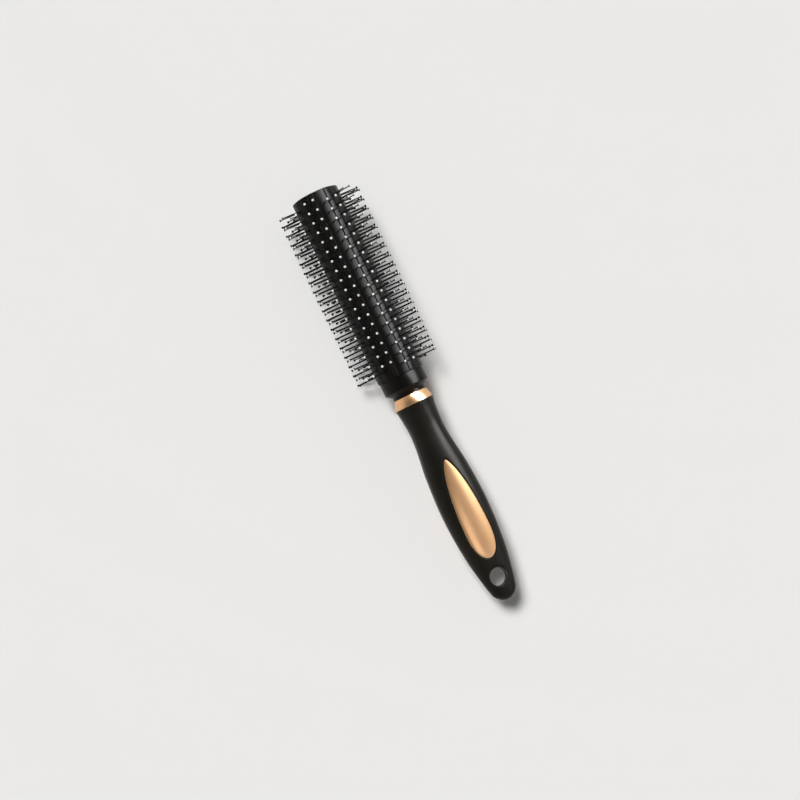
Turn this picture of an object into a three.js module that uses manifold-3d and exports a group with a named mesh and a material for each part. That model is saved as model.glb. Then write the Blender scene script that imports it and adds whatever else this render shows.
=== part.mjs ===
// A round barrel brush: a glossy slotted barrel with twelve double-row pin strips on a soft-touch handle.
// Millimetres, +Z up. The brush's axis lies along X with the free end of the barrel towards +X, and the
// front inlay faces +Z. The origin is under the middle of the brush, at the height of the lowest pin tips.
import * as THREE from 'three';
import { ParametricGeometry } from 'three/addons/geometries/ParametricGeometry.js';
import { mergeVertices } from 'three/addons/utils/BufferGeometryUtils.js';
import Module from 'manifold-3d';

const wasm = await Module();
wasm.setup();

// ---- driving dimensions ----

// lengths along the axis, from the tail of the handle to the free end
const gripLength = 112.6;
const ringLength = 5.4;
const neckLength = 2;
const shoulderLength = 2;
const bandLength = 7;
const barrelLength = 104.4;
const plugProud = 0.6;

// clearances between assembled pieces
const slideGap = 0.2; // on each side of a piece that slides or drops into another
const seatGap = 0.2; // along the axis, between two faces that meet
const inlayGap = 0.3; // all round an inlay in its pocket

// barrel
const barrelRadius = 12.7;
const barrelEdge = 0.4;
const barrelWall = 4.1; // slots included
const counterboreLip = 1.1;
const counterboreDepth = 1.5;
const stripCount = 12;
const barrelClock = THREE.MathUtils.degToRad(9); // from the front inlay round to the first strip

// pin strips: a dovetail rail with two rows of pins
const slotWeb = 0.9; // left between the floors of two neighbouring slots
const railFlare = 0.35; // how much wider the foot is than the top, on each side
const railDepth = 2.1;
const pinPitch = 5.41;
const pinMargin = 4.9; // from the nearer end of the rail to the first pin
const rowInset = 0.38; // from the edge of the rail's top in to a row of pins
const pinHeight = 10.5; // above the barrel
const pinRootRadius = 0.5;
const pinNeckRadius = 0.42;
const pinBallRadius = 0.75;
const pinSides = 3;

// hub inside the barrel, which takes the handle's spigot
const hubLength = 30;
const hubWeb = 3;
const hubRibWidth = 1.6;
const spigotRadius = 4.7;
const spigotFlatDepth = 0.7; // of each of the two flats

// end plug
const plugChamfer = 0.6;
const plugBevel = 2; // from the counterbore in to the flat face
const plugSkirtLength = 7;
const plugSkirtWall = 1.4;

// collars between the handle and the barrel
const bandStep = 0.55; // below the barrel's surface
const neckRadius = 9.1;
const ringFrontRadius = 9.2;
const ringBackRadius = 10.7;
const coreNeckRadius = 6.3;
const collarEdge = 0.3;

// handle: soft sleeve over a hard core
const sleeveWall = 2.6;
const sleeveFrontWall = 3.6;
const tailRound = 5.6; // length of the rounded end in plan
const edgeRound = 3; // the same in side view
const sectionPower = 2.3; // superellipse exponent of the grip's section
const roundingLength = 14; // over which the section turns round towards the ring
const hangHoleRadius = 4.9;
const hangHoleCentre = 13; // from the tail
const hangHoleFlare = 0.9;
const hangHoleWall = 5; // from the hole to the hard core

// inlays: one let into the front of the handle and one into the back
const inlayTail = 23.9; // from the tail of the handle
const inlayTip = 79.8;
const inlayHalfWidth = 7;
const inlayBelly = 41; // where it is widest
const inlayTaper = 0.65; // exponent of the long taper to the tip
const inlayFullness = 2.6; // exponent of the rounded tail end
const inlayThickness = 1.1;
const inlayProud = 0.25;
const pocketDepth = 1.3;
const pegRadius = 1.2;
const pegReach = 2; // into the core
const pegPlaces = [38, 60];

// retaining screw and its washer
const screwRadius = 1.65;
const screwLength = 15;
const screwHeadRadius = 3.2;
const screwHeadHeight = 2.2;
const screwTopRadius = 2.24; // of the flat on top of the head
const screwRecess = 1.2;
const screwSlot = 0.8;
const screwCrossArm = 1.76; // from the axis to the end of each arm of the cross
const washerRadius = 4.4;
const washerThickness = 0.8;

// facets
const roundSides = 36;
const smallSides = 16;
const gripSides = 24;
const coreSides = 16;
const gripSteps = 16;
const tailSteps = 4;
const inlaySteps = 12;
const inlayEndSteps = 5;

// ---- places along the axis, from the tail ----

const ringStart = gripLength;
const neckStart = ringStart + ringLength;
const shoulderStart = neckStart + neckLength;
const bandStart = shoulderStart + shoulderLength;
const barrelStart = bandStart + bandLength;
const barrelEnd = barrelStart + barrelLength;
const overallLength = barrelEnd + plugProud;
const barrelMiddle = (barrelStart + barrelEnd) / 2;
const hubEnd = barrelStart + hubLength;
const spigotEnd = hubEnd - hubWeb - seatGap;
const coreStart = hangHoleCentre + hangHoleRadius + hangHoleWall;
const coreEnd = gripLength - sleeveFrontWall - seatGap;

// ---- sizes across the axis that follow from the ones above ----

const boreRadius = barrelRadius - barrelWall;
const counterboreRadius = barrelRadius - counterboreLip;
const bandRadius = barrelRadius - bandStep;
const plugFaceRadius = counterboreRadius - plugBevel;
const pinTipRadius = barrelRadius + pinHeight;
const slotFloorRadius = barrelRadius - railDepth - slideGap;
const flareSlope = railFlare / railDepth;
const slotFloorWidth = 2 * slotFloorRadius * Math.tan(Math.PI / stripCount) - slotWeb;
const railFootWidth = slotFloorWidth - 2 * slideGap * (1 + flareSlope);
const railTopWidth = railFootWidth - 2 * railFlare;
const rowHalfAngle = Math.asin((railTopWidth / 2 - rowInset) / barrelRadius);
const pinsPerRow = Math.floor((barrelLength - 2 * pinMargin) / pinPitch) + 1;
const spigotFlat = spigotRadius - spigotFlatDepth;
const socketRadius = spigotRadius + slideGap;
const hubRadius = (socketRadius + boreRadius) / 2;

// how far each piece reaches past what it cuts
const overcut = 1;

// half width and half thickness that the grip's sections never go below
const leastHalf = 0.1;

// ---- turning shapes into solids and back ----

function toSolid(geometry) {
  const bare = geometry.clone();
  bare.deleteAttribute('normal');
  bare.deleteAttribute('uv');
  const merged = mergeVertices(bare, 1e-5);
  const corners = merged.index.array;
  const kept = [];
  for (let i = 0; i < corners.length; i += 3) {
    const [a, b, c] = [corners[i], corners[i + 1], corners[i + 2]];
    if (a !== b && b !== c && c !== a) {
      kept.push(a, b, c);
    }
  }
  return new wasm.Manifold(new wasm.Mesh({
    numProp: 3,
    vertProperties: new Float32Array(merged.attributes.position.array),
    triVerts: new Uint32Array(kept),
  }));
}

function toGeometry(solid) {
  const mesh = solid.getMesh();
  const geometry = new THREE.BufferGeometry();
  geometry.setAttribute('position', new THREE.BufferAttribute(mesh.vertProperties, 3));
  geometry.setIndex(new THREE.BufferAttribute(mesh.triVerts, 1));
  geometry.computeVertexNormals();
  return geometry;
}

function cutAll(solid, cutters) {
  return cutters.reduce((left, cutter) => left.subtract(cutter), solid);
}

// A body turned about the X axis, from its profile as [place along X, radius] pairs.
function turned(profile, sides = roundSides) {
  const points = profile.map(([along, radius]) => new THREE.Vector2(radius, along));
  return toSolid(new THREE.LatheGeometry(points, sides).rotateZ(-Math.PI / 2));
}

function rod(from, to, radius, sides = smallSides) {
  return turned([[from, 0], [from, radius], [to, radius], [to, 0]], sides);
}

function tube(from, to, inner, outer, sides = roundSides) {
  return turned([[from, inner], [from, outer], [to, outer], [to, inner], [from, inner]], sides);
}

function block(low, high) {
  const size = high.map((value, axis) => value - low[axis]);
  const middle = high.map((value, axis) => (value + low[axis]) / 2);
  return toSolid(new THREE.BoxGeometry(...size).translate(...middle));
}

// A cylinder that stands along Z.
function post(x, y, fromZ, toZ, radius) {
  const geometry = new THREE.CylinderGeometry(radius, radius, toZ - fromZ, smallSides);
  return toSolid(geometry.rotateX(Math.PI / 2).translate(x, y, (fromZ + toZ) / 2));
}

// A section in Y and Z, given as [y, z] pairs, drawn out along X.
function drawnAlongX(section, from, to) {
  const shape = new THREE.Shape(section.map(([y, z]) => new THREE.Vector2(y, z)));
  const geometry = new THREE.ExtrudeGeometry(shape, { depth: to - from, bevelEnabled: false });
  const toAxes = new THREE.Matrix4().makeBasis(
    new THREE.Vector3(0, 1, 0),
    new THREE.Vector3(0, 0, 1),
    new THREE.Vector3(1, 0, 0),
  );
  return toSolid(geometry.applyMatrix4(toAxes).translate(from, 0, 0));
}

// ---- the handle's form ----

// A smooth curve through [place, value] pairs, read at any place.
function smoothThrough(stations) {
  const slopes = stations.map((station, i) => {
    const before = stations[Math.max(i - 1, 0)];
    const after = stations[Math.min(i + 1, stations.length - 1)];
    return (after[1] - before[1]) / (after[0] - before[0]);
  });
  return (place) => {
    const last = stations.length - 2;
    const found = stations.findIndex((station, i) => i <= last && place <= stations[i + 1][0]);
    const i = found < 0 ? last : found;
    const [[x0, y0], [x1, y1]] = [stations[i], stations[i + 1]];
    const span = x1 - x0;
    const u = THREE.MathUtils.clamp((place - x0) / span, 0, 1);
    const ease = u * u * (3 - 2 * u);
    const leaving = slopes[i] * span * u * (1 - u) * (1 - u);
    const arriving = slopes[i + 1] * span * u * u * (1 - u);
    return y0 + (y1 - y0) * ease + leaving - arriving;
  };
}

function alongGrip(stations) {
  return smoothThrough(stations.map(([share, half]) => [share * gripLength, half]));
}

// Half widths and half thicknesses of the grip at shares of its length: full tail, belly, waist, and a
// round front that meets the ring.
const planAt = alongGrip([
  [0, 5.6],
  [0.107, 8.55],
  [0.266, 11.5],
  [0.462, 12.75],
  [0.657, 11.7],
  [0.799, 9.65],
  [0.879, 9.15],
  [0.956, 9.9],
  [1, ringBackRadius],
]);
const sideAt = alongGrip([
  [0, 4.2],
  [0.124, 5.3],
  [0.302, 7.8],
  [0.497, 9.2],
  [0.71, 9.3],
  [0.879, 8.8],
  [0.956, 9.8],
  [1, ringBackRadius],
]);

function roundedEnd(place, length) {
  const left = 1 - Math.min(place / length, 1);
  return Math.sqrt(1 - left * left);
}

// The grip's form drawn in by an inset, between two places along the axis.
function gripForm(inset, from, to, sides, steps) {
  const stations = [[from, 0]];
  const start = Math.max(from, inset);
  const bend = Math.max(tailRound - start, 0);
  for (let i = from > 0 ? tailSteps : 1; i < tailSteps; i += 1) {
    stations.push([start + bend * (1 - Math.cos((Math.PI / 2) * (i / tailSteps))), 1]);
  }
  const straight = start + bend;
  for (let i = 0; i <= steps; i += 1) {
    stations.push([straight + (to - straight) * (i / steps), 1]);
  }
  stations.push([to, 0]);
  const onGrip = (around, along, target) => {
    const [place, open] = stations[Math.round(along * (stations.length - 1))];
    const angle = around * 2 * Math.PI;
    const frontBlend = THREE.MathUtils.smoothstep(place, gripLength - roundingLength, gripLength);
    const power = THREE.MathUtils.lerp(sectionPower, 2, frontBlend);
    const width = Math.max(planAt(place) * roundedEnd(place, tailRound) - inset, leastHalf) * open;
    const height = Math.max(sideAt(place) * roundedEnd(place, edgeRound) - inset, leastHalf) * open;
    const [c, s] = [Math.cos(angle), Math.sin(angle)];
    target.set(
      place,
      width * Math.sign(c) * Math.abs(c) ** (2 / power),
      height * Math.sign(s) * Math.abs(s) ** (2 / power),
    );
  };
  return toSolid(new ParametricGeometry(onGrip, sides, stations.length - 1));
}

// ---- inlays ----

// Half width of the teardrop at a place along the axis: a long taper to the tip and a full oval end.
function teardropHalfWidth(place) {
  if (place > inlayBelly) {
    const run = (place - inlayBelly) / (inlayTip - inlayBelly);
    return inlayHalfWidth * Math.max(1 - run * run, 0) ** inlayTaper;
  }
  const run = (inlayBelly - place) / (inlayBelly - inlayTail);
  return inlayHalfWidth * Math.sqrt(Math.max(1 - run ** inlayFullness, 0));
}

function teardropSide() {
  const side = [];
  for (let i = 1; i < inlayEndSteps; i += 1) {
    const place = inlayBelly - (inlayBelly - inlayTail) * Math.cos((Math.PI / 2) * (i / inlayEndSteps));
    side.push([place, teardropHalfWidth(place)]);
  }
  for (let i = 0; i < inlaySteps; i += 1) {
    const place = inlayBelly + (inlayTip - inlayBelly) * Math.sin((Math.PI / 2) * (i / inlaySteps));
    side.push([place, teardropHalfWidth(place)]);
  }
  return side;
}

// The teardrop standing along Z, grown on every side by a margin.
function teardropBlock(margin, fromZ, toZ) {
  const side = teardropSide();
  const middle = (inlayTail + inlayTip) / 2;
  const stretch = 1 + (2 * margin) / (inlayTip - inlayTail);
  const outline = [
    [inlayTail, 0],
    ...side,
    [inlayTip, 0],
    ...side.map(([x, y]) => [x, -y]).reverse(),
  ];
  const points = outline.map(([x, y]) => (
    new THREE.Vector2(middle + (x - middle) * stretch, y + Math.sign(y) * margin)
  ));
  const geometry = new THREE.ExtrudeGeometry(new THREE.Shape(points), {
    depth: toZ - fromZ,
    bevelEnabled: false,
  });
  return toSolid(geometry.translate(0, 0, fromZ));
}

function pegSeat(place) {
  return sideAt(place) - sleeveWall - pegReach;
}

function makeInlay() {
  const high = ringBackRadius + overcut;
  const skin = gripForm(-inlayProud, 0, gripLength, gripSides, gripSteps)
    .subtract(gripForm(inlayThickness, 0, gripLength - overcut, gripSides, gripSteps));
  const plate = teardropBlock(0, 0, high).intersect(skin);
  const pegs = pegPlaces.map((along) => (
    post(along, 0, pegSeat(along) + seatGap, sideAt(along) - inlayThickness / 2, pegRadius)
  ));
  return pegs.reduce((piece, peg) => piece.add(peg), plate);
}

// ---- handle ----

function makeCore() {
  const body = gripForm(sleeveWall, coreStart, coreEnd, coreSides, gripSteps / 2);
  const neck = rod(coreEnd - overcut, neckStart - seatGap, coreNeckRadius);
  const spigot = rod(coreEnd, spigotEnd, spigotRadius)
    .subtract(block([neckStart, spigotFlat, -socketRadius], [hubEnd, socketRadius, socketRadius]))
    .subtract(block([neckStart, -socketRadius, -socketRadius], [hubEnd, -spigotFlat, socketRadius]));
  const pilot = rod(hubEnd - screwLength - overcut, hubEnd, screwRadius + slideGap);
  const sockets = pegPlaces.flatMap((place) => {
    const top = sideAt(place);
    return [
      post(place, 0, pegSeat(place), top, pegRadius + slideGap),
      post(place, 0, -top, -pegSeat(place), pegRadius + slideGap),
    ];
  });
  return cutAll(body.add(neck).add(spigot), [pilot, ...sockets]);
}

function hangHole() {
  const flareStart = sideAt(hangHoleCentre) - hangHoleFlare;
  const high = ringBackRadius;
  const radiusAt = (z) => hangHoleRadius + Math.max(z - flareStart, 0);
  const profile = [
    [0, -high],
    [radiusAt(high), -high],
    [hangHoleRadius, -flareStart],
    [hangHoleRadius, flareStart],
    [radiusAt(high), high],
    [0, high],
  ].map(([radius, z]) => new THREE.Vector2(radius, z));
  const geometry = new THREE.LatheGeometry(profile, smallSides);
  return toSolid(geometry.rotateX(Math.PI / 2).translate(hangHoleCentre, 0, 0));
}

function makeSleeve() {
  const form = gripForm(0, 0, gripLength, gripSides, gripSteps);
  const inset = sleeveWall - slideGap;
  const cavity = gripForm(inset, coreStart - seatGap, coreEnd + seatGap, coreSides, gripSteps / 2);
  const mouth = rod(coreEnd, gripLength + overcut, coreNeckRadius + slideGap);
  const high = ringBackRadius + overcut;
  const floor = gripForm(pocketDepth, 0, gripLength - overcut, gripSides, gripSteps);
  const pockets = [
    teardropBlock(inlayGap, 0, high).subtract(floor),
    teardropBlock(inlayGap, -high, 0).subtract(floor),
  ];
  const pegHoles = pegPlaces.map((along) => post(along, 0, -high, high, pegRadius + slideGap));
  return cutAll(form, [cavity, mouth, hangHole(), ...pockets, ...pegHoles]);
}

// ---- collars ----

function makeRing() {
  const start = ringStart + seatGap;
  const end = neckStart - seatGap;
  const inner = coreNeckRadius + slideGap;
  return turned([
    [start, inner],
    [start, ringBackRadius - collarEdge],
    [start + collarEdge, ringBackRadius],
    [end - collarEdge, ringFrontRadius],
    [end, ringFrontRadius - collarEdge],
    [end, inner],
    [start, inner],
  ]);
}

function makeBaseCollar() {
  const end = barrelStart - seatGap;
  const lip = counterboreRadius - slideGap;
  return turned([
    [neckStart, socketRadius],
    [neckStart, neckRadius],
    [shoulderStart, neckRadius],
    [bandStart, bandRadius - collarEdge],
    [bandStart + collarEdge, bandRadius],
    [end, bandRadius],
    [end, lip],
    [end + counterboreDepth, lip],
    [end + counterboreDepth, socketRadius],
    [neckStart, socketRadius],
  ]);
}

// ---- barrel ----

// Half width of the dovetail at a distance from the axis.
function dovetail(radius, gap) {
  return railTopWidth / 2 + flareSlope * (barrelRadius - radius) + gap;
}

function slot() {
  const mouthRadius = barrelRadius + overcut;
  const floor = dovetail(slotFloorRadius, slideGap);
  const mouth = dovetail(mouthRadius, slideGap);
  const section = [
    [-floor, slotFloorRadius],
    [floor, slotFloorRadius],
    [mouth, mouthRadius],
    [-mouth, mouthRadius],
  ];
  return drawnAlongX(section, barrelStart - overcut, barrelEnd + overcut);
}

function turn(solid, angle) {
  return solid.rotate([THREE.MathUtils.radToDeg(angle), 0, 0]);
}

function stripAngle(index) {
  return barrelClock + (index * 2 * Math.PI) / stripCount;
}

// The ring-shaped pocket round the hub, open towards the handle, with ribs left across it.
function hubPocket() {
  const ring = tube(barrelStart - overcut, hubEnd - hubWeb, hubRadius, boreRadius);
  const half = hubRibWidth / 2;
  const low = barrelStart + counterboreDepth;
  const ribs = [
    block([low, -boreRadius, -half], [hubEnd, boreRadius, half]),
    block([low, -half, -boreRadius], [hubEnd, half, boreRadius]),
  ];
  return cutAll(ring, ribs);
}

function makeBarrel() {
  const shell = turned([
    [barrelStart, 0],
    [barrelStart, barrelRadius - barrelEdge],
    [barrelStart + barrelEdge, barrelRadius],
    [barrelEnd - barrelEdge, barrelRadius],
    [barrelEnd, barrelRadius - barrelEdge],
    [barrelEnd, 0],
  ]);
  const flat = spigotFlat + slideGap;
  const socket = rod(barrelStart - overcut, hubEnd - hubWeb, socketRadius)
    .intersect(block([0, -flat, -boreRadius], [hubEnd, flat, boreRadius]));
  const slots = [];
  for (let i = 0; i < stripCount; i += 1) {
    slots.push(turn(slot(), stripAngle(i)));
  }
  return cutAll(shell, [
    rod(hubEnd, barrelEnd + overcut, boreRadius, roundSides),
    rod(barrelStart - overcut, barrelStart + counterboreDepth, counterboreRadius, roundSides),
    rod(barrelEnd - counterboreDepth, barrelEnd + overcut, counterboreRadius, roundSides),
    hubPocket(),
    socket,
    rod(barrelStart, barrelEnd, screwRadius + slideGap),
    ...slots,
  ]);
}

// ---- pin strips ----

// A pin stands along Z from inside its rail to its ball tip.
function pin() {
  const ball = pinTipRadius - pinBallRadius;
  const profile = [
    [0, barrelRadius - railDepth / 2],
    [pinRootRadius, barrelRadius - railDepth / 2],
    [pinNeckRadius, ball - pinBallRadius],
    [pinBallRadius, ball],
    [0, pinTipRadius],
  ].map(([radius, z]) => new THREE.Vector2(radius, z));
  return toSolid(new THREE.LatheGeometry(profile, pinSides).rotateX(Math.PI / 2));
}

// The strip is made about the middle of its length, with its shorter margin towards +X.
function makeStrip() {
  const half = barrelLength / 2;
  const foot = barrelRadius - railDepth;
  const crown = (y) => Math.sqrt(barrelRadius ** 2 - y ** 2);
  const edge = railTopWidth / 2;
  const rail = drawnAlongX([
    [-dovetail(foot, 0), foot],
    [dovetail(foot, 0), foot],
    [edge, crown(edge)],
    [0, barrelRadius],
    [-edge, crown(edge)],
  ], -half, half);
  const notch = counterboreDepth + seatGap;
  const notchTop = counterboreRadius + slideGap;
  const notches = [
    block([-half - overcut, -railFootWidth, foot - overcut], [notch - half, railFootWidth, notchTop]),
    block([half - notch, -railFootWidth, foot - overcut], [half + overcut, railFootWidth, notchTop]),
  ];
  const pins = [];
  for (let i = 0; i < pinsPerRow; i += 1) {
    const along = half - pinMargin - i * pinPitch;
    for (const side of [-1, 1]) {
      pins.push(turn(pin(), side * rowHalfAngle).translate([along, 0, 0]));
    }
  }
  return pins.reduce((strip, one) => strip.add(one), cutAll(rail, notches));
}

// ---- end plug, screw and washer ----

function makePlug() {
  const flange = barrelEnd - counterboreDepth + seatGap;
  const rim = counterboreRadius - slideGap;
  const skirt = boreRadius - slideGap;
  const skirtEnd = barrelEnd - counterboreDepth - plugSkirtLength;
  return turned([
    [flange + plugChamfer, 0],
    [flange + plugChamfer, skirt - plugSkirtWall],
    [skirtEnd, skirt - plugSkirtWall],
    [skirtEnd, skirt],
    [flange, skirt],
    [flange, rim],
    [barrelEnd - plugChamfer / 2, rim],
    [overallLength, plugFaceRadius],
    [overallLength, 0],
  ]);
}

function makeWasher() {
  const start = hubEnd + seatGap;
  return tube(start, start + washerThickness, screwRadius + slideGap, washerRadius, smallSides);
}

function makeScrew() {
  const seat = hubEnd + washerThickness + 2 * seatGap;
  const top = seat + screwHeadHeight;
  const body = turned([
    [seat - screwLength, 0],
    [seat - screwLength + screwRadius, screwRadius],
    [seat, screwRadius],
    [seat, screwHeadRadius],
    [top - screwHeadHeight / 2, screwHeadRadius],
    [top, screwTopRadius],
    [top, 0],
  ], smallSides);
  const half = screwSlot / 2;
  return cutAll(body, [
    block([top - screwRecess, -screwCrossArm, -half], [top + overcut, screwCrossArm, half]),
    block([top - screwRecess, -half, -screwCrossArm], [top + overcut, half, screwCrossArm]),
  ]);
}

// ---- finishes ----

function finish(color, roughness, metalness) {
  return new THREE.MeshStandardMaterial({ color, roughness, metalness });
}

const glossBlack = () => finish(0x1b1a19, 0.22, 0);
const softBlack = () => finish(0x24221f, 0.62, 0);
const roseGold = () => finish(0xd9a583, 0.3, 1);
const nylonBlack = () => finish(0x181716, 0.4, 0);
const coreGrey = () => finish(0x4a4a4a, 0.6, 0);
const steel = () => finish(0xb8babc, 0.35, 1);

// ---- assembly ----

const rows = [];
for (let i = 0; i < stripCount; i += 1) {
  rows.push(stripAngle(i) - rowHalfAngle, stripAngle(i) + rowHalfAngle);
}
const axisHeight = Math.max(...rows.map((angle) => -pinTipRadius * Math.cos(angle)));

const brush = new THREE.Group();
brush.position.set(-overallLength / 2, 0, axisHeight);

function addPiece(name, solid, material) {
  const mesh = new THREE.Mesh(toGeometry(solid), material);
  mesh.name = name;
  brush.add(mesh);
  return mesh;
}

addPiece('handle_core', makeCore(), coreGrey());
addPiece('grip_sleeve', makeSleeve(), softBlack());
const inlay = makeInlay();
addPiece('inlay_front', inlay, roseGold());
addPiece('inlay_back', inlay, roseGold()).rotation.x = Math.PI;
addPiece('collar_ring', makeRing(), roseGold());
addPiece('base_collar', makeBaseCollar(), glossBlack());
addPiece('barrel_shell', makeBarrel(), glossBlack());
addPiece('end_plug', makePlug(), glossBlack());
addPiece('barrel_screw', makeScrew(), steel());
addPiece('screw_washer', makeWasher(), steel());

// Neighbouring strips face opposite ways along the barrel, which staggers their pins by half a pitch or so.
const strip = toGeometry(makeStrip());
for (let i = 0; i < stripCount; i += 1) {
  const mesh = new THREE.Mesh(strip, nylonBlack());
  mesh.name = `pin_strip_${String(i + 1).padStart(2, '0')}`;
  mesh.position.x = barrelMiddle;
  mesh.rotation.z = i % 2 === 0 ? Math.PI : 0;
  const clocked = new THREE.Group();
  clocked.rotation.x = stripAngle(i);
  clocked.add(mesh);
  brush.add(clocked);
}

export default brush;
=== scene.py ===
import math
import random

import bmesh
import bpy
from mathutils import Matrix, Vector


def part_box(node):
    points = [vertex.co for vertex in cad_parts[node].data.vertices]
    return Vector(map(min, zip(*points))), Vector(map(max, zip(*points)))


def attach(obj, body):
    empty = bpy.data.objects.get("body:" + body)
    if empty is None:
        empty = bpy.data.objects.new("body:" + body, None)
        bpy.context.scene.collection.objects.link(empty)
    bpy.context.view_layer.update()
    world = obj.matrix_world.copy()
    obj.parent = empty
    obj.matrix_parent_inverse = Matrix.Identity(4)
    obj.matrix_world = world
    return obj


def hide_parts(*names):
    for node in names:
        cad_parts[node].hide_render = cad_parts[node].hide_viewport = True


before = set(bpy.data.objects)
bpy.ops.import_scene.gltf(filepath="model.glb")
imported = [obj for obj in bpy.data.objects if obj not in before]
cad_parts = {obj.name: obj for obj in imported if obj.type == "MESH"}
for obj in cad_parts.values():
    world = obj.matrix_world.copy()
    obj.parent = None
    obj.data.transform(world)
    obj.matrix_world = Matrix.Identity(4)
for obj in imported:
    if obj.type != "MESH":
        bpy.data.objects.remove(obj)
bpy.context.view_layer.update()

# A round barrel brush on a pale floor. Shapes are worked out in millimetres along the brush's axis, which runs
# from the tail of the handle (0) towards +X, and become metres in the CAD model's frame as they are made.

MM = 0.001


def box_mm(node):
    low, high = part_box(node)
    return [value / MM for value in low], [value / MM for value in high]


# ---- places and sizes from the frame, in millimetres ----

sleeve_low, sleeve_high = box_mm("grip_sleeve")
ring_low, ring_high = box_mm("collar_ring")
collar_low, collar_high = box_mm("base_collar")
barrel_low, barrel_high = box_mm("barrel_shell")
plug_high = box_mm("end_plug")[1]
inlay_low, inlay_high = box_mm("inlay_front")

TAIL_X = sleeve_low[0]
AXIS_Z = (barrel_low[2] + barrel_high[2]) / 2
GRIP_LENGTH = sleeve_high[0] - TAIL_X
NECK_START = collar_low[0] - TAIL_X
BARREL_START = barrel_low[0] - TAIL_X
BARREL_END = barrel_high[0] - TAIL_X
OVERALL = plug_high[0] - TAIL_X
BARREL_RADIUS = (barrel_high[1] - barrel_low[1]) / 2
COLLAR_RADIUS = (collar_high[1] - collar_low[1]) / 2
RING_RADIUS = (ring_high[1] - ring_low[1]) / 2
INLAY_TAIL = inlay_low[0] - TAIL_X
INLAY_TIP = inlay_high[0] - TAIL_X
INLAY_HALF = (inlay_high[1] - inlay_low[1]) / 2

# ---- sizes that the boxes don't show, in millimetres unless a line says otherwise ----

# Handle: half its width and half its thickness, as (place, size) pairs from the tail to the ring
GRIP_WIDTHS = [
    (0, 5.6), (12, 8.55), (30, 11.5), (52, 12.75), (74, 11.7),
    (90, 9.65), (99, 9.15), (GRIP_LENGTH - 5, 9.9), (GRIP_LENGTH, RING_RADIUS),
]
GRIP_HEIGHTS = [
    (0, 4.2), (14, 5.3), (34, 7.8), (56, 9.2), (80, 9.3),
    (99, 8.8), (GRIP_LENGTH - 5, 9.8), (GRIP_LENGTH, RING_RADIUS),
]
SECTION_POWER = 2.3  # 2 is an ellipse, and more is squarer
ROUNDING_LENGTH = 14  # over this length before the ring the section turns into an ellipse
TAIL_ROUND = 5.6
EDGE_ROUND = 3.0
LEAST_HALF = 0.02
CORE_START = 22.7  # the room for the hard core inside the sleeve
CORE_WALL = 2.4
CORE_SHORT = 3.6
NECK_BORE = 6.5  # radius inside the ring and the sleeve's mouth
MOUTH_DEPTH = 5
GRIP_VOXEL = 0.26
GRIP_SOFTENING = (0.5, 4)  # factor and times
GRIP_KEPT_FACES = 0.3  # share

# Hang hole
HOLE_CENTRE = 13.0
HOLE_RADIUS = 4.9
HOLE_LIP = 1.1
HOLE_LIP_OVER = 0.2  # the lip's round starts this far outside the face
HOLE_LIP_BEND = 1.6
HOLE_POST_OVER = 3
HOLE_POST_FLARE = 2.4

# Inlays
INLAY_BELLY = 41.0  # where the teardrop is widest
TIP_FULLNESS = 0.65  # the smaller, the blunter the pointed end
TAIL_SQUARENESS = 2.6  # the larger, the squarer the round end
INLAY_PROUD = 0.22
INLAY_THICK = 1.1
INLAY_EDGE = 0.3
CROWN_SHARES = (0.15, 0.3, 0.45, 0.6, 0.72, 0.82, 0.9, 0.95)  # of the outline
RIM_START = 0.962
RIM_SHARE = 0.038
RIM_LIFT = 0.02
INLAY_CLEARANCE = 0.32
POCKET_DEPTH = 1.3

# Ring, collar and plug
RING_FRONT_RADIUS = 9.2
RING_GAP = 0.06
RING_EDGE = 0.22
NECK_RADIUS = 9.1
COLLAR_BORE = 4.9
COLLAR_EDGE = 0.35
COLLAR_GAP = 0.08
COUNTERBORE_DEPTH = 1.3  # of the barrel's two mouths
COLLAR_TENON = 11.4
PLUG_RIM = 11.35
PLUG_SKIRT_DEPTH = 8.5
PLUG_SKIRT_OUTSIDE = 8.4
PLUG_SKIRT_INSIDE = 7.0
PLUG_EDGE = 0.6

# Barrel and strips. A strip leaves a groove on one side of its slot and a hairline on the other, so the slot and
# the rail each have an open and a close side, measured across from the slot's middle.
STRIP_COUNT = 12
BARREL_CLOCK = math.radians(9)  # from the front inlay's side to the first strip's middle
BARREL_BORE = 8.6
SLOT_OPEN_SIDE = 1.78
SLOT_CLOSE_SIDE = 1.93
SLOT_DEPTH = 2.2
SLOT_FLARE = 0.3
SLOT_SHOULDER = 2.5  # times the corner's radius
CORNER = 0.14
END_ROUND = 0.4
RAIL_OPEN_SIDE = 1.24
RAIL_CLOSE_SIDE = 1.85
RAIL_FOOT_SIDE = 1.95
RAIL_FOOT_GAP = 0.1
RAIL_WAIST_DEPTH = 1.0
RAIL_HEART_DEPTH = 1.2
RAIL_END_GAP = 0.03
RAIL_END_ROUND = 0.35

# Pins
PINS_PER_ROW = 18
PIN_PITCH = 5.41
PIN_MARGIN = 4.9  # from the nearer end of the barrel to the first pin
ROW_HALF_ANGLE = math.radians(6.2)
PIN_TIP_RADIUS = 23.2
PIN_SHAFT = [(11.2, 0.42), (12.35, 0.42), (12.75, 0.5), (12.9, 0.42), (13.15, 0.37), (17.5, 0.31)]
PIN_NECK = (0.95, 0.27)  # distance below the ball's middle, and radius
PIN_BALL = 0.66
HIGHLIGHT_SHELL = PIN_BALL + 0.03  # painted highlight: a white shell a little out of the black ball, on its outer end, stands in for the tip's highlight
BALL_RINGS = (154, 138, 122, 105, 90, 80, 73, 68)  # degrees from the tip
# rings of the white shell that paints the tip's highlight, in degrees from the tip
HIGHLIGHT_RINGS = (66, 50, 34, 17)
PIN_SIDES = 12
TILT_ALONG = 0.006  # spread of the pins' tilt along and round the barrel, in radians
TILT_ROUND = 0.004

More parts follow.
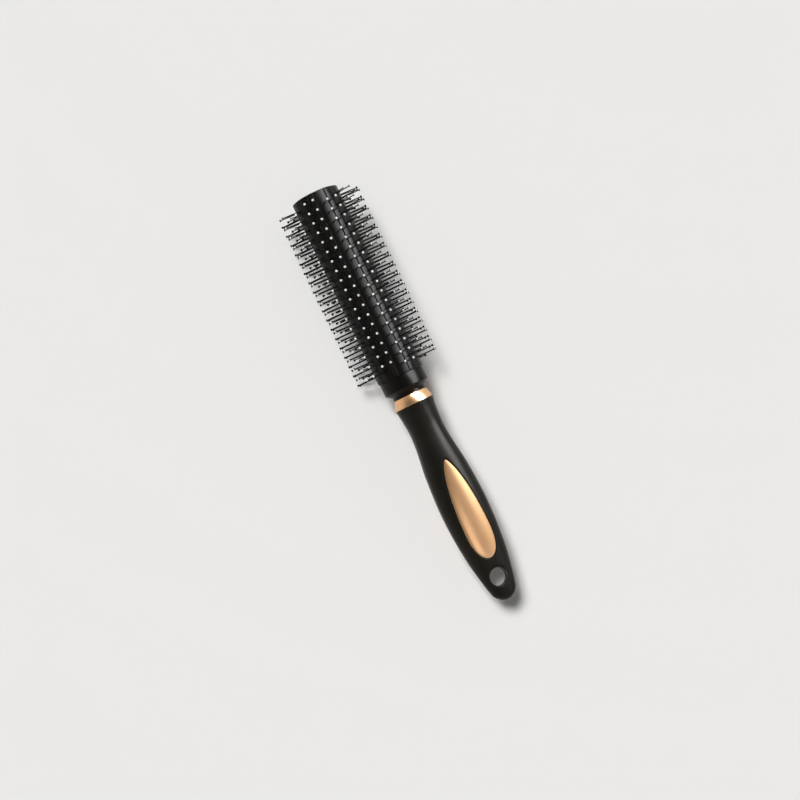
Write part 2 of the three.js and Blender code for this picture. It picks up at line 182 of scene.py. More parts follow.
# Steps of the meshes
TURNED_SIDES = 200
HOLE_SIDES = 96
LIP_STEPS = 8
TAIL_STEPS = 14
TEARDROP_STEPS = 90
RIM_STEPS = 5
CORNER_STEPS = 4
LAND_STEPS = 12
RAIL_TOP_STEPS = 8
END_STEPS = 5
BODY_STEPS = 12


# ---- mesh helpers ----

def at(along, across, up):
    """A point in metres, from millimetres along the axis, to the left of it (+Y) and above it."""
    return Vector(((TAIL_X + along) * MM, across * MM, (AXIS_Z + up) * MM))


def around(along, radius, angle):
    """A point round the axis; the angle runs from the front inlay's side towards -Y."""
    return at(along, -radius * math.sin(angle), radius * math.cos(angle))


class Skin:
    """Gathers points and faces for one mesh, loop by loop. A face's mark is the number of its material."""

    def __init__(self):
        self.points = []
        self.faces = []
        self.marks = []

    def loop(self, points):
        start = len(self.points)
        self.points.extend(points)
        return list(range(start, start + len(points)))

    def bridge(self, first, second, mark=0):
        count = len(first)
        for i in range(count):
            j = (i + 1) % count
            self.faces.append((first[i], first[j], second[j], second[i]))
            self.marks.append(mark)

    def fan(self, loop, centre, flip=False, mark=0):
        tip = self.loop([centre])[0]
        count = len(loop)
        for i in range(count):
            j = (i + 1) % count
            self.faces.append((loop[j], loop[i], tip) if flip else (loop[i], loop[j], tip))
            self.marks.append(mark)

    def stack(self, loops, start_centre=None, end_centre=None):
        made = [self.loop(points) for points in loops]
        for first, second in zip(made, made[1:]):
            self.bridge(first, second)
        if start_centre is not None:
            self.fan(made[0], start_centre, flip=True)
        if end_centre is not None:
            self.fan(made[-1], end_centre)
        return made


def outward(mesh):
    """Turns every face to point out of the closed mesh."""
    work = bmesh.new()
    work.from_mesh(mesh)
    bmesh.ops.remove_doubles(work, verts=work.verts, dist=1e-8)
    bmesh.ops.recalc_face_normals(work, faces=work.faces)
    work.to_mesh(mesh)
    work.free()


def make_object(name, skin, materials, crisp=math.radians(40)):
    mesh = bpy.data.meshes.new(name)
    mesh.from_pydata([tuple(point) for point in skin.points], [], skin.faces)
    for material in materials:
        mesh.materials.append(material)
    for face, mark in zip(mesh.polygons, skin.marks):
        face.material_index = mark
    outward(mesh)
    mesh.shade_smooth()
    mesh.set_sharp_from_angle(angle=crisp)
    piece = bpy.data.objects.new(name, mesh)
    bpy.context.scene.collection.objects.link(piece)
    return piece


def finish_piece(piece, node):
    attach(piece, "root")
    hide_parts(node)


def arc(centre, radius, start, end, steps):
    """Points of an arc as (along, radius) pairs; angles in degrees from the axis direction."""
    points = []
    for i in range(steps + 1):
        angle = math.radians(start + (end - start) * i / steps)
        points.append((centre[0] + radius * math.cos(angle), centre[1] + radius * math.sin(angle)))
    return points


def turned(name, profile, materials, sides=TURNED_SIDES):
    """A body turned about the axis from a closed profile of (along, radius) pairs."""
    skin = Skin()
    loops = []
    for along, radius in profile:
        loops.append([around(along, radius, 2 * math.pi * i / sides) for i in range(sides)])
    on_axis = profile[0][1] == 0 and profile[-1][1] == 0
    if on_axis:
        first, last = at(profile[0][0], 0, 0), at(profile[-1][0], 0, 0)
        skin.stack(loops[1:-1], first, last)
    else:
        made = skin.stack(loops)
        skin.bridge(made[-1], made[0])
    return make_object(name, skin, materials)


# ---- the handle's form ----

def smooth_through(stations):
    """A smooth curve through (place, value) pairs, read at any place."""
    slopes = []
    for i in range(len(stations)):
        before, after = stations[max(i - 1, 0)], stations[min(i + 1, len(stations) - 1)]
        slopes.append((after[1] - before[1]) / (after[0] - before[0]))

    def read(place):
        i = 0
        while i < len(stations) - 2 and place > stations[i + 1][0]:
            i += 1
        (x0, y0), (x1, y1) = stations[i], stations[i + 1]
        span = x1 - x0
        u = min(max((place - x0) / span, 0), 1)
        ease = u * u * (3 - 2 * u)
        leaving = slopes[i] * span * u * (1 - u) ** 2
        arriving = slopes[i + 1] * span * u * u * (1 - u)
        return y0 + (y1 - y0) * ease + leaving - arriving

    return read


half_width_at = smooth_through(GRIP_WIDTHS)
half_height_at = smooth_through(GRIP_HEIGHTS)


def rounded_end(place, length):
    """Share of the full size that is left near the tail, where the end is rounded over a length."""
    left = 1 - min(place / length, 1)
    return math.sqrt(max(1 - left * left, 0))


def section_power(place):
    u = min(max((place - (GRIP_LENGTH - ROUNDING_LENGTH)) / ROUNDING_LENGTH, 0), 1)
    return SECTION_POWER + (2 - SECTION_POWER) * u * u * (3 - 2 * u)


def grip_height(place, across, inset=0.0):
    """Height of the grip's front face above the axis plane."""
    width = half_width_at(place) * rounded_end(place, TAIL_ROUND) - inset
    height = half_height_at(place) * rounded_end(place, EDGE_ROUND) - inset
    power = section_power(place)
    share = min(abs(across) / width, 1)
    return height * (1 - share ** power) ** (1 / power)


def grip_loop(place, inset, sides):
    width = max(half_width_at(place) * rounded_end(place, TAIL_ROUND) - inset, LEAST_HALF)
    height = max(half_height_at(place) * rounded_end(place, EDGE_ROUND) - inset, LEAST_HALF)
    power = 2 / section_power(place)
    points = []
    for i in range(sides):
        angle = 2 * math.pi * i / sides
        c, s = math.cos(angle), math.sin(angle)
        across = width * math.copysign(abs(c) ** power, c)
        up = height * math.copysign(abs(s) ** power, s)
        points.append(at(place, across, up))
    return points


def grip_solid(name, inset, start, end, sides, steps):
    """The grip's form, or a smaller copy of it inside, between two places."""
    skin = Skin()
    places = []
    straight = start
    if start == 0:
        straight = TAIL_ROUND
        for i in range(1, TAIL_STEPS):
            places.append(TAIL_ROUND * (1 - math.cos(math.pi / 2 * i / TAIL_STEPS)))
    places += [straight + (end - straight) * i / steps for i in range(steps + 1)]
    loops = [grip_loop(place, inset, sides) for place in places]
    skin.stack(loops, at(start, 0, 0), at(end, 0, 0))
    return make_object(name, skin, [])


# ---- inlays ----

def teardrop_half_width(place):
    if place > INLAY_BELLY:
        run = (place - INLAY_BELLY) / (INLAY_TIP - INLAY_BELLY)
        return INLAY_HALF * max(1 - run * run, 0) ** TIP_FULLNESS
    run = (INLAY_BELLY - place) / (INLAY_BELLY - INLAY_TAIL)
    return INLAY_HALF * max(1 - run ** TAIL_SQUARENESS, 0) ** 0.5


def teardrop_outline():
    """Points round the teardrop as (along, across) pairs, close together at both ends."""
    side = []
    for i in range(1, TEARDROP_STEPS):
        u = (1 - math.cos(math.pi * i / TEARDROP_STEPS)) / 2
        place = INLAY_TAIL + (INLAY_TIP - INLAY_TAIL) * u
        side.append((place, teardrop_half_width(place)))
    mirrored = [(place, -half) for place, half in reversed(side)]
    return [(INLAY_TAIL, 0.0)] + side + [(INLAY_TIP, 0.0)] + mirrored


def grown(outline, margin):
    """The outline moved outward by a margin."""
    points = []
    count = len(outline)
    for i, (x, y) in enumerate(outline):
        x0, y0 = outline[i - 1]
        x1, y1 = outline[(i + 1) % count]
        along, across = x1 - x0, y1 - y0
        length = math.hypot(along, across)
        points.append((x - margin * across / length, y + margin * along / length))
    return points


def inlay_skin(margin, layers, facing):
    """A plate on the grip's face, made of loops: each layer is (share of the outline, drop below the face)."""
    outline = grown(teardrop_outline(), margin)
    skin = Skin()

    def layer(share, drop):
        points = []
        for x, y in outline:
            along = INLAY_BELLY + (x - INLAY_BELLY) * share
            across = y * share
            points.append(at(along, across * facing, facing * (grip_height(along, across) - drop)))
        return points

    def middle(drop):
        return at(INLAY_BELLY, 0, facing * (grip_height(INLAY_BELLY, 0) - drop))

    loops = [layer(share, drop) for share, drop in layers]
    skin.stack(loops, middle(layers[0][1]), middle(layers[-1][1]))
    return skin


# ---- materials ----

def new_material(name):
    material = bpy.data.materials.new(name)
    material.use_nodes = True
    return material, material.node_tree, material.node_tree.nodes["Principled BSDF"]


def noise(tree, scale, detail=3.0, roughness=0.5):
    place = tree.nodes.new("ShaderNodeTexCoord")
    texture = tree.nodes.new("ShaderNodeTexNoise")
    texture.inputs["Scale"].default_value = scale
    texture.inputs["Detail"].default_value = detail
    texture.inputs["Roughness"].default_value = roughness
    tree.links.new(place.outputs["Object"], texture.inputs["Vector"])
    return texture.outputs["Fac"]


def between(tree, value, low, high):
    """Spreads a noise's usual range over low to high."""
    span = tree.nodes.new("ShaderNodeMapRange")
    span.inputs["From Min"].default_value = 0.3
    span.inputs["From Max"].default_value = 0.7
    span.inputs["To Min"].default_value = low
    span.inputs["To Max"].default_value = high
    tree.links.new(value, span.inputs["Value"])
    return span.outputs["Result"]


def colour_between(tree, value, first, second):
    ramp = tree.nodes.new("ShaderNodeValToRGB")
    ramp.color_ramp.elements[0].position = 0.35
    ramp.color_ramp.elements[0].color = (*first, 1)
    ramp.color_ramp.elements[1].position = 0.65
    ramp.color_ramp.elements[1].color = (*second, 1)
    tree.links.new(value, ramp.inputs["Fac"])
    return ramp.outputs["Color"]


def bump(tree, shader, heights):
    """Adds bumps, each (height, distance in metres, strength), one on another."""
    before = None
    for height, distance, strength in heights:
        node = tree.nodes.new("ShaderNodeBump")
        node.inputs["Distance"].default_value = distance
        node.inputs["Strength"].default_value = strength
        tree.links.new(height, node.inputs["Height"])
        if before is not None:
            tree.links.new(before, node.inputs["Normal"])
        before = node.outputs["Normal"]
    tree.links.new(before, shader.inputs["Normal"])


def surface(name, patches, tones, roughness, grains, specular=0.5, metallic=0.0, sheen_patches=None):
    """A material whose colour drifts between two tones and whose roughness drifts between two values.

    Patches are (scale, detail) of a noise. Each grain is (noise, height in metres, strength) of a bump.
    """
    material, tree, shader = new_material(name)
    shader.inputs["Metallic"].default_value = metallic
    shader.inputs["Specular IOR Level"].default_value = specular
    drift = noise(tree, *patches)
    tree.links.new(colour_between(tree, drift, *tones), shader.inputs["Base Color"])
    sheen = noise(tree, *sheen_patches) if sheen_patches else drift
    tree.links.new(between(tree, sheen, *roughness), shader.inputs["Roughness"])
    bump(tree, shader, [(noise(tree, *pattern), height, strength) for pattern, height, strength in grains])
    return material


def rose_gold(name, roughness, grain):
    return surface(name, (55, 2), ((0.82, 0.475, 0.245), (0.86, 0.525, 0.285)), roughness,
                   [((5200, 3), 0.000006, grain)], metallic=1.0, sheen_patches=(700, 3))


GLOSS = surface("gloss_black", (90, 2), ((0.0030, 0.0026, 0.0022), (0.0042, 0.0038, 0.0034)), (0.22, 0.28),
                [((160, 2), 0.00004, 0.25), ((4200, 2), 0.000004, 0.3)], specular=0.12)
SOFT = surface("soft_touch", (60, 3), ((0.0078, 0.0067, 0.0046), (0.0105, 0.0090, 0.0064)), (0.29, 0.34),
               [((3000, 4, 0.6), 0.00002, 0.35)], specular=0.13)
SATIN_GOLD = rose_gold("rose_gold_satin", (0.28, 0.30), 0.14)
BRIGHT_GOLD = rose_gold("rose_gold_polished", (0.22, 0.25), 0.12)
NYLON = surface("pin_nylon", (300, 2), ((0.0045, 0.0042, 0.0038), (0.007, 0.0065, 0.0058)), (0.32, 0.42),
                [((2500, 2), 0.00001, 0.3)], specular=0.14)
# painted highlight: the white on each pin's outer end stands in for the highlight on the black ball
PAINTED_HIGHLIGHT = surface("tip_white", (900, 2), ((0.78, 0.77, 0.74), (0.86, 0.855, 0.83)), (0.3, 0.42),
                [((2500, 2), 0.00001, 0.3)])
CORE = surface("core_plastic", (200, 3), ((0.06, 0.06, 0.06), (0.075, 0.075, 0.075)), (0.5, 0.62),
               [((2600, 3), 0.00002, 0.4)])
STEEL = surface("plated_steel", (400, 3), ((0.5, 0.51, 0.52), (0.6, 0.61, 0.62)), (0.25, 0.38),
                [((3000, 2), 0.000008, 0.4)], metallic=1.0)


# ---- handle ----

def bake_modifiers(piece):
    graph = bpy.context.evaluated_depsgraph_get()
    mesh = bpy.data.meshes.new_from_object(piece.evaluated_get(graph))
    piece.modifiers.clear()
    piece.data = mesh


def cut(piece, cutters):
    for cutter in cutters:
        step = piece.modifiers.new(cutter.name, "BOOLEAN")
        step.operation = "DIFFERENCE"
        step.solver = "EXACT"
        step.object = cutter
        bake_modifiers(piece)
        bpy.data.objects.remove(cutter)


def hole_cutter():
    """A post through the tail whose ends flare in a round, to leave a rounded lip."""
    skin = Skin()
    face = half_height_at(HOLE_CENTRE)
    foot, lip = -face - HOLE_POST_OVER, -face - HOLE_LIP_OVER
    profile = [(foot, HOLE_RADIUS + HOLE_POST_FLARE), (lip, HOLE_RADIUS + HOLE_LIP)]
    for i in range(LIP_STEPS + 1):
        bend = math.sin(math.radians(90 * i / LIP_STEPS))
        profile.append((lip + HOLE_LIP * bend, HOLE_RADIUS + HOLE_LIP * (1 - bend) ** HOLE_LIP_BEND))
    profile += [(-up, radius) for up, radius in reversed(profile)]
    loops = []
    for up, radius in profile:
        loops.append([at(HOLE_CENTRE + radius * math.cos(a), radius * math.sin(a), up)
                      for a in (2 * math.pi * i / HOLE_SIDES for i in range(HOLE_SIDES))])
    skin.stack(loops, at(HOLE_CENTRE, 0, profile[0][0]), at(HOLE_CENTRE, 0, profile[-1][0]))
    return make_object("hole_cutter", skin, [])


def pocket_cutter(name, facing):
    """A block that sinks an inlay's pocket into the face. Its end loops are smaller, to close the ends."""
    above, small = 2.0, 0.5
    layers = [(small, -above), (1.0, -above), (1.0, -above / 2)]
    layers += [(1.0, 0.0), (1.0, POCKET_DEPTH), (small, POCKET_DEPTH)]
    return make_object(name, inlay_skin(INLAY_CLEARANCE, layers, facing), [])


def make_grip():
    """Cuts the sleeve out of the grip's form, then evens out its mesh so that the cut edges turn slightly soft."""
    grip = grip_solid("grip", 0, 0, GRIP_LENGTH, sides=128, steps=150)
    core = grip_solid("core_room", CORE_WALL, CORE_START, GRIP_LENGTH - CORE_SHORT, sides=48, steps=40)
    deep, past = GRIP_LENGTH - MOUTH_DEPTH, GRIP_LENGTH + 2
    mouth = turned("mouth", [(deep, 0), (deep, NECK_BORE), (past, NECK_BORE), (past, 0)], [], sides=64)
    cut(grip, [hole_cutter(), pocket_cutter("front_pocket", 1), pocket_cutter("back_pocket", -1), core, mouth])
    fine = grip.modifiers.new("even_mesh", "REMESH")
    fine.mode = "VOXEL"
    fine.voxel_size = GRIP_VOXEL * MM
    settle = grip.modifiers.new("soft_edges", "SMOOTH")
    settle.factor, settle.iterations = GRIP_SOFTENING
    lighter = grip.modifiers.new("lighter", "DECIMATE")
    lighter.ratio = GRIP_KEPT_FACES
    bake_modifiers(grip)
    grip.data.materials.clear()
    grip.data.materials.append(SOFT)
    grip.data.shade_smooth()
    finish_piece(grip, "grip_sleeve")


def make_inlays():
    """Each plate is a shallow crown, a rounded rim and a flat underside in the pocket."""
    crown = [(share, -INLAY_PROUD * (1 - share ** 6)) for share in CROWN_SHARES]
    rim = []
    for i in range(RIM_STEPS + 1):
        angle = math.pi / 2 * i / RIM_STEPS
        rim.append((RIM_START + RIM_SHARE * math.sin(angle), -RIM_LIFT + INLAY_EDGE * (1 - math.cos(angle))))
    under = [(share, INLAY_THICK) for share in (1.0, 0.6, 0.2)]
    for name, facing in (("inlay_front", 1), ("inlay_back", -1)):
        piece = make_object(name + "_plate", inlay_skin(0, crown + rim + under, facing), [SATIN_GOLD])
        finish_piece(piece, name)


# ---- collars, plug ----

def make_ring():
    """A slightly tapered band with rounded edges."""
    start, end = GRIP_LENGTH + RING_GAP, NECK_START - RING_GAP
    profile = [(start, NECK_BORE)]
    profile += arc((start + RING_EDGE, RING_RADIUS - RING_EDGE), RING_EDGE, 180, 95, 5)
    profile += arc((end - RING_EDGE, RING_FRONT_RADIUS - RING_EDGE), RING_EDGE, 75, 0, 5)
    profile += [(end, NECK_BORE)]
    finish_piece(turned("ring", profile, [BRIGHT_GOLD]), "collar_ring")


def make_base_collar():
    """The neck, a shoulder up to the wide band, and a tenon in the barrel's mouth."""
    shoulder, band, end = NECK_START + 2, NECK_START + 4, BARREL_START - COLLAR_GAP
    tenon_end = BARREL_START + COUNTERBORE_DEPTH
    bevel, edge = 0.15, COLLAR_EDGE
    profile = [(NECK_START, COLLAR_BORE), (NECK_START, NECK_RADIUS - bevel), (NECK_START + bevel, NECK_RADIUS)]
    profile += [(shoulder - 0.5, NECK_RADIUS)]
    profile += [(shoulder - 0.2, NECK_RADIUS + 0.08), (shoulder, NECK_RADIUS + 0.25)]
    profile += arc((band + 0.2, COLLAR_RADIUS - edge), edge, 140, 90, 6)
    profile += arc((end - edge / 2, COLLAR_RADIUS - edge / 2), edge / 2, 90, 0, 4)
    profile += [(end, COLLAR_TENON), (tenon_end, COLLAR_TENON), (tenon_end, COLLAR_BORE)]
    finish_piece(turned("base_band", profile, [GLOSS]), "base_collar")


def make_plug():
    """A cap with a skirt inside the barrel and a fine ring groove in its outer face."""
    face, seat, skirt = OVERALL, BARREL_END - COUNTERBORE_DEPTH, BARREL_END - PLUG_SKIRT_DEPTH
    web = seat + 0.6
    profile = [(web, 0), (web, PLUG_SKIRT_INSIDE), (skirt, PLUG_SKIRT_INSIDE)]
    profile += [(skirt, PLUG_SKIRT_OUTSIDE), (seat, PLUG_SKIRT_OUTSIDE), (seat, PLUG_RIM)]
    profile += arc((face - 0.7, PLUG_RIM - PLUG_EDGE), PLUG_EDGE, 80, 25, 6)
    groove = face - 0.12
    profile += [(face, 9.8), (face, 9.0), (groove, 8.8), (groove, 8.5), (face, 8.3)]
    profile += [(face, 4.0), (face, 0)]
    finish_piece(turned("end_cap", profile, [GLOSS]), "end_plug")


# ---- barrel and strips ----

def strip_angle(index):
    return BARREL_CLOCK + 2 * math.pi * index / STRIP_COUNT


def faces_back(index):
    """Every other strip is turned end for end."""
    return index % 2 == 0


def slot_sides(index):
    """The slot's edges below and above its middle, as positive widths. A turned strip swaps them."""
    if faces_back(index):
        return SLOT_CLOSE_SIDE, SLOT_OPEN_SIDE
    return SLOT_OPEN_SIDE, SLOT_CLOSE_SIDE


def barrel_section():
    """The barrel's section as (angle, radius) points: lands with rounded corners between deep slots."""
    points = []
    floor = BARREL_RADIUS - SLOT_DEPTH
    shoulder = BARREL_RADIUS - CORNER * SLOT_SHOULDER
    bend = CORNER / BARREL_RADIUS
    for index in range(STRIP_COUNT):
        middle = strip_angle(index)
        low, high = slot_sides(index)
        next_low = slot_sides((index + 1) % STRIP_COUNT)[0]
        start = middle + high / BARREL_RADIUS
        end = strip_angle(index + 1) - next_low / BARREL_RADIUS
        points.append((middle - (low + SLOT_FLARE) / floor, floor))
        points.append((middle + (high + SLOT_FLARE) / floor, floor))
        points.append((start, shoulder))
        for i in range(CORNER_STEPS + 1):
            angle = math.pi / 2 * i / CORNER_STEPS
            points.append((start + bend * (1 - math.cos(angle)), BARREL_RADIUS - CORNER * (1 - math.sin(angle))))
        for i in range(1, LAND_STEPS):
            points.append((start + bend + (end - start - 2 * bend) * i / LAND_STEPS, BARREL_RADIUS))
        for i in range(CORNER_STEPS + 1):
            angle = math.pi / 2 * i / CORNER_STEPS
            points.append((end - bend * (1 - math.sin(angle)), BARREL_RADIUS - CORNER * (1 - math.cos(angle))))
        points.append((end, shoulder))
    return points


def end_round_places(start, end, radius):
    """(place, drop) pairs that round both ends of a drawn body."""
    places = []
    for i in range(END_STEPS + 1):
        angle = math.pi / 2 * i / END_STEPS
        places.append((start + radius * (1 - math.cos(angle)), radius * (1 - math.sin(angle))))
    for i in range(1, BODY_STEPS):
        places.append((start + radius + (end - start - 2 * radius) * i / BODY_STEPS, 0.0))
    for i in range(END_STEPS + 1):
        angle = math.pi / 2 * i / END_STEPS
        places.append((end - radius * (1 - math.sin(angle)), radius * (1 - math.cos(angle))))
    return places


def make_barrel():
    """A tube with the slotted section outside and a plain bore."""
    section = barrel_section()
    skin = Skin()
    loops = []
    for place, drop in end_round_places(BARREL_START, BARREL_END, END_ROUND):
        loops.append([around(place, min(radius, BARREL_RADIUS - drop), angle) for angle, radius in section])
    outer = skin.stack(loops)
    inside = skin.stack([[around(place, BARREL_BORE, angle) for angle, _ in section]
                         for place in (BARREL_START, BARREL_END)])
    skin.bridge(outer[0], inside[0])
    skin.bridge(outer[-1], inside[-1])
    finish_piece(make_object("barrel", skin, [GLOSS], math.radians(50)), "barrel_shell")


def rail_section(index):
    """The rail's section as (across, radius) points; across grows with the angle round the barrel."""
    low, high = (RAIL_CLOSE_SIDE, RAIL_OPEN_SIDE) if faces_back(index) else (RAIL_OPEN_SIDE, RAIL_CLOSE_SIDE)
    foot = BARREL_RADIUS - SLOT_DEPTH + RAIL_FOOT_GAP
    waist = BARREL_RADIUS - RAIL_WAIST_DEPTH
    points = [(-RAIL_FOOT_SIDE, foot), (RAIL_FOOT_SIDE, foot), (high, waist)]

    def top(across):
        return math.sqrt(BARREL_RADIUS ** 2 - across ** 2)

    for i in range(CORNER_STEPS + 1):
        angle = math.pi / 2 * i / CORNER_STEPS
        across = high - CORNER * (1 - math.cos(angle))
        points.append((across, top(high) - CORNER * (1 - math.sin(angle))))
    for i in range(1, RAIL_TOP_STEPS):
        across = high - CORNER - (high + low - 2 * CORNER) * i / RAIL_TOP_STEPS
        points.append((across, top(across)))
    for i in range(CORNER_STEPS + 1):
        angle = math.pi / 2 * i / CORNER_STEPS
        across = -low + CORNER * (1 - math.sin(angle))
        points.append((across, top(low) - CORNER * (1 - math.cos(angle))))
    points.append((-low, waist))
    return points


def pin_profile():
    """(height, radius, highlighted) rings of a pin from inside the rail to just under the tip; highlighted rings
    carry the painted highlight.
    """
    ball = PIN_TIP_RADIUS - PIN_BALL
    below, neck = PIN_NECK
    rings = [(height, radius, 0) for height, radius in PIN_SHAFT] + [(ball - below, neck, 0)]
    # the black ball, then the white shell that paints its highlight
    for radius, polars, highlighted in ((PIN_BALL, BALL_RINGS, 0), (HIGHLIGHT_SHELL, HIGHLIGHT_RINGS, 1)):
        for polar in polars:
            angle = math.radians(polar)
            rings.append((ball + radius * math.cos(angle), radius * math.sin(angle), highlighted))
    return rings


def add_pin(skin, place, angle, tilt, profile):
    """One pin standing out of the barrel, tilted a little along and round it."""
    out = Vector((tilt[0], -math.sin(angle + tilt[1]), math.cos(angle + tilt[1]))).normalized()
    side = out.cross(Vector((1, 0, 0))).normalized()
    other = out.cross(side)
    root = around(place, BARREL_RADIUS, angle)
    made = []
    for height, radius, highlighted in profile:
        centre = root + out * (height - BARREL_RADIUS) * MM
        ring = [centre + (side * math.cos(a) + other * math.sin(a)) * radius * MM
                for a in (2 * math.pi * i / PIN_SIDES for i in range(PIN_SIDES))]
        made.append((skin.loop(ring), highlighted))
    for (first, _), (second, highlighted) in zip(made, made[1:]):
        skin.bridge(first, second, highlighted)
    skin.fan(made[0][0], root + out * (profile[0][0] - BARREL_RADIUS) * MM, flip=True)
    tip = root + out * (PIN_TIP_RADIUS + HIGHLIGHT_SHELL - PIN_BALL - BARREL_RADIUS) * MM
    # the tip's end takes the painted highlight
    skin.fan(made[-1][0], tip, mark=1)


def make_strip(index, chance):
    """A rail with two rows of pins."""
    middle = strip_angle(index)
    c, s = math.cos(middle), math.sin(middle)
    section = rail_section(index)
    start, end = BARREL_START + RAIL_END_GAP, BARREL_END - RAIL_END_GAP
    skin = Skin()
    loops = []
    for place, drop in end_round_places(start, end, RAIL_END_ROUND):
        loop = []
        for across, radius in section:
            up, left = min(radius, BARREL_RADIUS - drop), -across
            loop.append(at(place, left * c - up * s, left * s + up * c))
        loops.append(loop)
    heart = BARREL_RADIUS - RAIL_HEART_DEPTH
    skin.stack(loops, at(start, -heart * s, heart * c), at(end, -heart * s, heart * c))
    profile = pin_profile()
    for row in (-1, 1):
        for i in range(PINS_PER_ROW):
            step = PIN_MARGIN + i * PIN_PITCH
            place = BARREL_START + step if faces_back(index) else BARREL_END - step
            tilt = (chance.gauss(0, TILT_ALONG), chance.gauss(0, TILT_ROUND))
            add_pin(skin, place, middle + row * ROW_HALF_ANGLE, tilt, profile)
    name = f"pin_strip_{index + 1:02d}"
    pins = make_object(name + "_pins", skin, [NYLON, PAINTED_HIGHLIGHT], math.radians(50))
    finish_piece(pins, name)


def make_strips():
    chance = random.Random(7)
    for index in range(STRIP_COUNT):
        make_strip(index, chance)


# ---- pieces that keep their CAD shape ----

def dress(node, material):
    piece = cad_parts[node]
    piece.data.materials.clear()
    piece.data.materials.append(material)


# ---- stage, lights and camera ----

BACKGROUND = (0.823, 0.815, 0.799)
PAPER = (0.80, 0.80, 0.797, 1)
LAMP_TINT = (1, 0.99, 0.975)
KEY_ENERGY = 2.96
KEY_FROM = (0.40, 0.25, 1.0)
KEY_ANGLE = math.radians(15)
FILL = 0.18
CEILING = 0.24  # share of the background that glossy surfaces see overhead
DARK_TILT = math.radians(28)
DARK_FROM, DARK_FULL = 0.5, 0.95  # cosines of the angle to the darkest direction
SOFTBOX_AWAY = 0.8


def make_floor():
    size = 6.0
    mesh = bpy.data.meshes.new("floor")
    corners = [(-size, -size, 0), (size, -size, 0), (size, size, 0), (-size, size, 0)]
    mesh.from_pydata(corners, [], [(0, 1, 2, 3)])
    material, tree, shader = new_material("floor_paper")
    shader.inputs["Roughness"].default_value = 1.0
    shader.inputs["Specular IOR Level"].default_value = 0.0
    shader.inputs["Base Color"].default_value = PAPER
    mesh.materials.append(material)
    floor = bpy.data.objects.new("floor", mesh)
    bpy.context.scene.collection.objects.link(floor)


def ceiling(tree, paths, shown):
    """Darkens the background overhead and to the left, as glossy surfaces see it, but not for the camera."""
    place = tree.nodes.new("ShaderNodeTexCoord")
    toward = tree.nodes.new("ShaderNodeVectorMath")
    toward.operation = "DOT_PRODUCT"
    toward.inputs[1].default_value = (0, math.sin(DARK_TILT), math.cos(DARK_TILT))
    tree.links.new(place.outputs["Generated"], toward.inputs[0])
    height = tree.nodes.new("ShaderNodeMapRange")
    height.inputs["From Min"].default_value = DARK_FROM
    height.inputs["From Max"].default_value = DARK_FULL
    height.inputs["To Min"].default_value = 1.0
    height.inputs["To Max"].default_value = CEILING
    tree.links.new(toward.outputs["Value"], height.inputs["Value"])
    choose = tree.nodes.new("ShaderNodeMix")
    choose.data_type = "FLOAT"
    tree.links.new(paths.outputs["Is Camera Ray"], choose.inputs["Factor"])
    tree.links.new(height.outputs["Result"], choose.inputs["A"])
    choose.inputs["B"].default_value = 1.0
    tree.links.new(choose.outputs["Result"], shown.inputs["Strength"])


def larger(tree, first, second):
    node = tree.nodes.new("ShaderNodeMath")
    node.operation = "MAXIMUM"
    tree.links.new(first, node.inputs[0])
    tree.links.new(second, node.inputs[1])
    return node.outputs[0]


def make_world():
    """Shows the background to camera, glossy and transmission rays, and lights the rest with a weak fill."""
    world = bpy.data.worlds.new("studio")
    bpy.context.scene.world = world
    world.use_nodes = True
    tree = world.node_tree
    tree.nodes.clear()
    paths = tree.nodes.new("ShaderNodeLightPath")
    seen = larger(tree, paths.outputs["Is Camera Ray"], paths.outputs["Is Glossy Ray"])
    seen = larger(tree, seen, paths.outputs["Is Transmission Ray"])
    fill = tree.nodes.new("ShaderNodeBackground")
    fill.inputs["Color"].default_value = (*LAMP_TINT, 1)
    fill.inputs["Strength"].default_value = FILL
    shown = tree.nodes.new("ShaderNodeBackground")
    shown.inputs["Color"].default_value = (*BACKGROUND, 1)
    shown.inputs["Strength"].default_value = 1.0
    ceiling(tree, paths, shown)
    mix = tree.nodes.new("ShaderNodeMixShader")
    tree.links.new(seen, mix.inputs["Fac"])
    tree.links.new(fill.outputs[0], mix.inputs[1])
    tree.links.new(shown.outputs[0], mix.inputs[2])
    out = tree.nodes.new("ShaderNodeOutputWorld")
    tree.links.new(mix.outputs[0], out.inputs["Surface"])


def make_softbox(name, left_out, radiance, size, tilt, along, yaw=0):
    """A wide lamp that only glossy surfaces see. It is tilted towards the right, centred a way along the axis and
    turned about its own middle, both in degrees. The pieces left out don't see it."""
    box = bpy.data.lights.new(name, "AREA")
    box.shape = "RECTANGLE"
    box.size, box.size_y = size
    box.energy = radiance * math.pi * box.size * box.size_y
    box_object = bpy.data.objects.new(name, box)
    bpy.context.scene.collection.objects.link(box_object)
    lean = math.radians(tilt)
    x_axis = Vector((1, 0, 0))
    z_axis = Vector((0, -math.sin(lean), math.cos(lean)))
    place = at(along, 0, 0) + z_axis * SOFTBOX_AWAY
    facing = Matrix((x_axis, z_axis.cross(x_axis), z_axis)).transposed()
    turn = Matrix.Rotation(math.radians(yaw), 3, z_axis) @ facing
    box_object.matrix_world = Matrix.Translation(place) @ turn.to_4x4()
    box_object.visible_diffuse = False
    box_object.visible_camera = False
    receivers = bpy.data.collections.new(name + "_left_out")
    for piece in left_out:
        receivers.objects.link(piece)
    for member in receivers.collection_objects:
        member.light_linking.link_state = "EXCLUDE"
    box_object.light_linking.receiver_collection = receivers


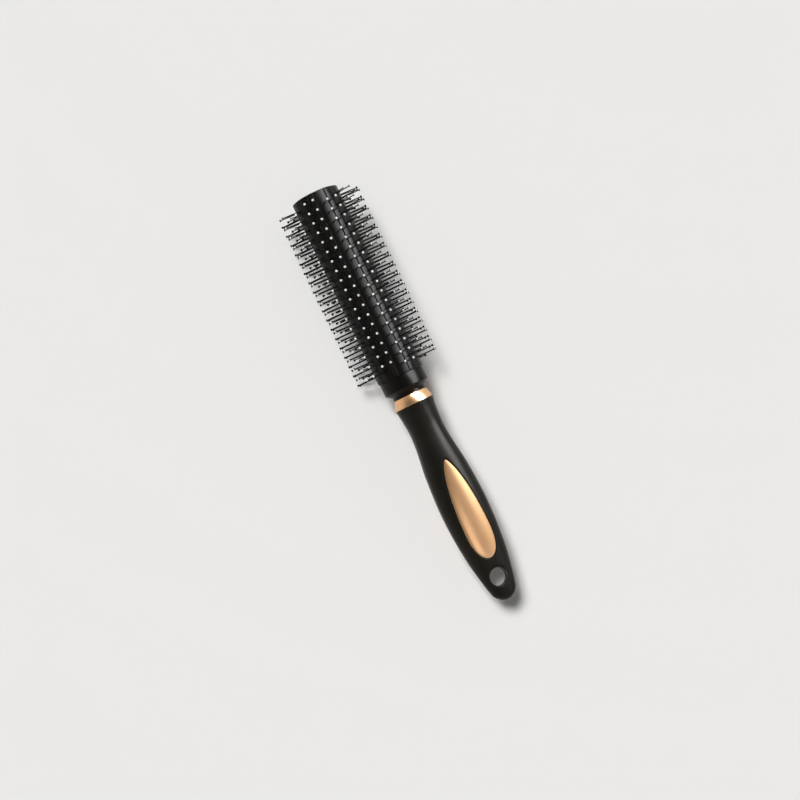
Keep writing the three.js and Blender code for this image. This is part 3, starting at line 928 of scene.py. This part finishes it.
def make_key():
    centre = at(OVERALL / 2, 0, 0)
    key = bpy.data.lights.new("key", "SUN")
    key.energy = KEY_ENERGY
    key.angle = KEY_ANGLE
    key.color = LAMP_TINT
    key_object = bpy.data.objects.new("key", key)
    bpy.context.scene.collection.objects.link(key_object)
    key_object.location = centre + Vector(KEY_FROM)
    key_object.rotation_euler = (centre - key_object.location).to_track_quat("-Z", "Y").to_euler()
    key_object.visible_glossy = False


def make_lights():
    """The key, one lamp whose streak shows on the black pieces and the ring, and two that only the inlays see."""
    make_key()
    inlays = [bpy.data.objects[name + "_plate"] for name in ("inlay_front", "inlay_back")]
    others = [piece for piece in bpy.data.objects if piece.type == "MESH" and piece not in inlays]
    make_softbox("softbox", inlays, radiance=17.0, size=(1.2, 0.5), tilt=31, along=560, yaw=33)
    make_softbox("gold_softbox_right", others, radiance=1.85, size=(0.63, 0.56), tilt=39, along=290)
    make_softbox("gold_softbox_left", others, radiance=1.25, size=(0.32, 0.40), tilt=-14, along=-200)


def make_camera():
    """Nearly straight down, rolled a little round the brush, with the free end up and to the left."""
    distance = 958
    roll = math.radians(10.6)
    lean = math.radians(25.65)
    foot = 93.0
    aim_along, aim_across = 117.7, 6.0
    place = at(foot, distance * math.sin(roll), distance * math.cos(roll))
    target = at(aim_along, aim_across, 0)
    forward = (target - place).normalized()
    along = Vector((1, 0, 0))
    along = (along - forward * along.dot(forward)).normalized()
    across = forward.cross(along)
    up = along * math.cos(lean) + across * math.sin(lean)
    right = across * math.cos(lean) - along * math.sin(lean)
    data = bpy.data.cameras.new("camera")
    data.sensor_width = 36
    data.lens = 82.7
    data.clip_start = 0.01
    data.clip_end = 50
    camera = bpy.data.objects.new("camera", data)
    bpy.context.scene.collection.objects.link(camera)
    turn = Matrix((right, up, -forward)).transposed().to_4x4()
    camera.matrix_world = Matrix.Translation(place) @ turn
    bpy.context.scene.camera = camera


make_camera()
make_world()
make_floor()
make_grip()
make_inlays()
make_ring()
make_base_collar()
make_barrel()
make_strips()
make_plug()
dress("handle_core", CORE)
dress("barrel_screw", STEEL)
dress("screw_washer", STEEL)
make_lights()
bpy.context.scene.view_settings.view_transform = "Standard"
